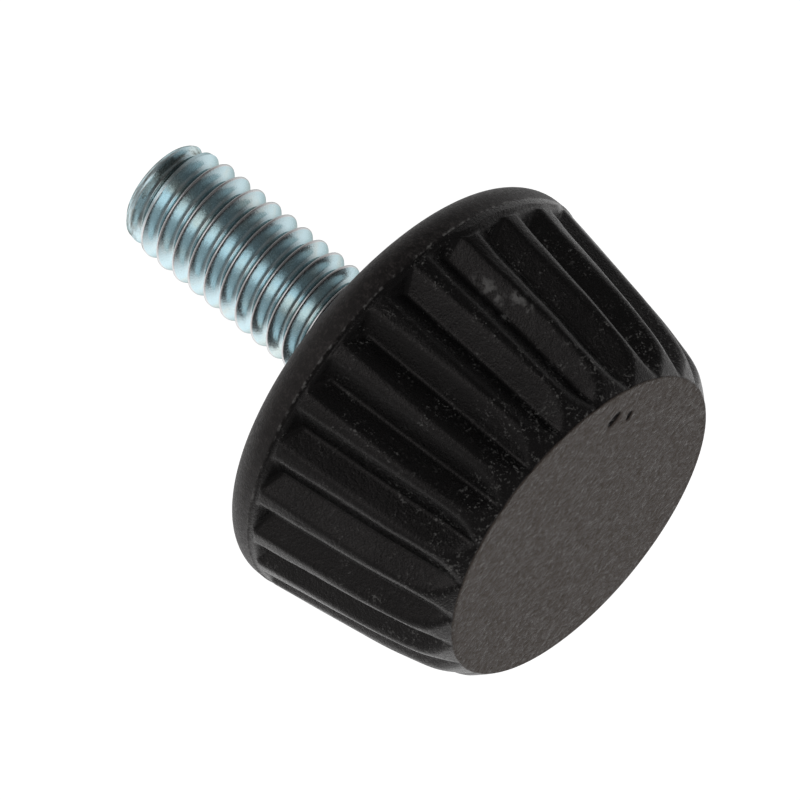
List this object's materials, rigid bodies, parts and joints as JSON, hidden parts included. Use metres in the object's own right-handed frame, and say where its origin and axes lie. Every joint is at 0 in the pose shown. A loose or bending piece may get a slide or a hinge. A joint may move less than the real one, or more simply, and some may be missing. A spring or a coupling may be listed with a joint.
{
  "type": "knurled clamping knob",
  "caption": "Tapered black plastic knob with straight ribs, a smooth rim and a flat crown, moulded round a zinc-plated threaded steel stud.",
  "frame": {"origin": "centre of the flat clamping face, where the stud leaves the head", "axes": "+Z along the stud's axis, from the clamping face to the crown, so the stud points to -Z; +X through the middle of a rib"},
  "size_m": [0.0152, 0.0152, 0.0187],
  "materials": {
    "black_plastic": "fine-grained matte moulding",
    "zinc_plated_steel": "bright blue-white zinc plating"
  },
  "bodies": {
    "root": {"knob_head": "black_plastic", "threaded_stud": "zinc_plated_steel"}
  },
  "joints": []
}
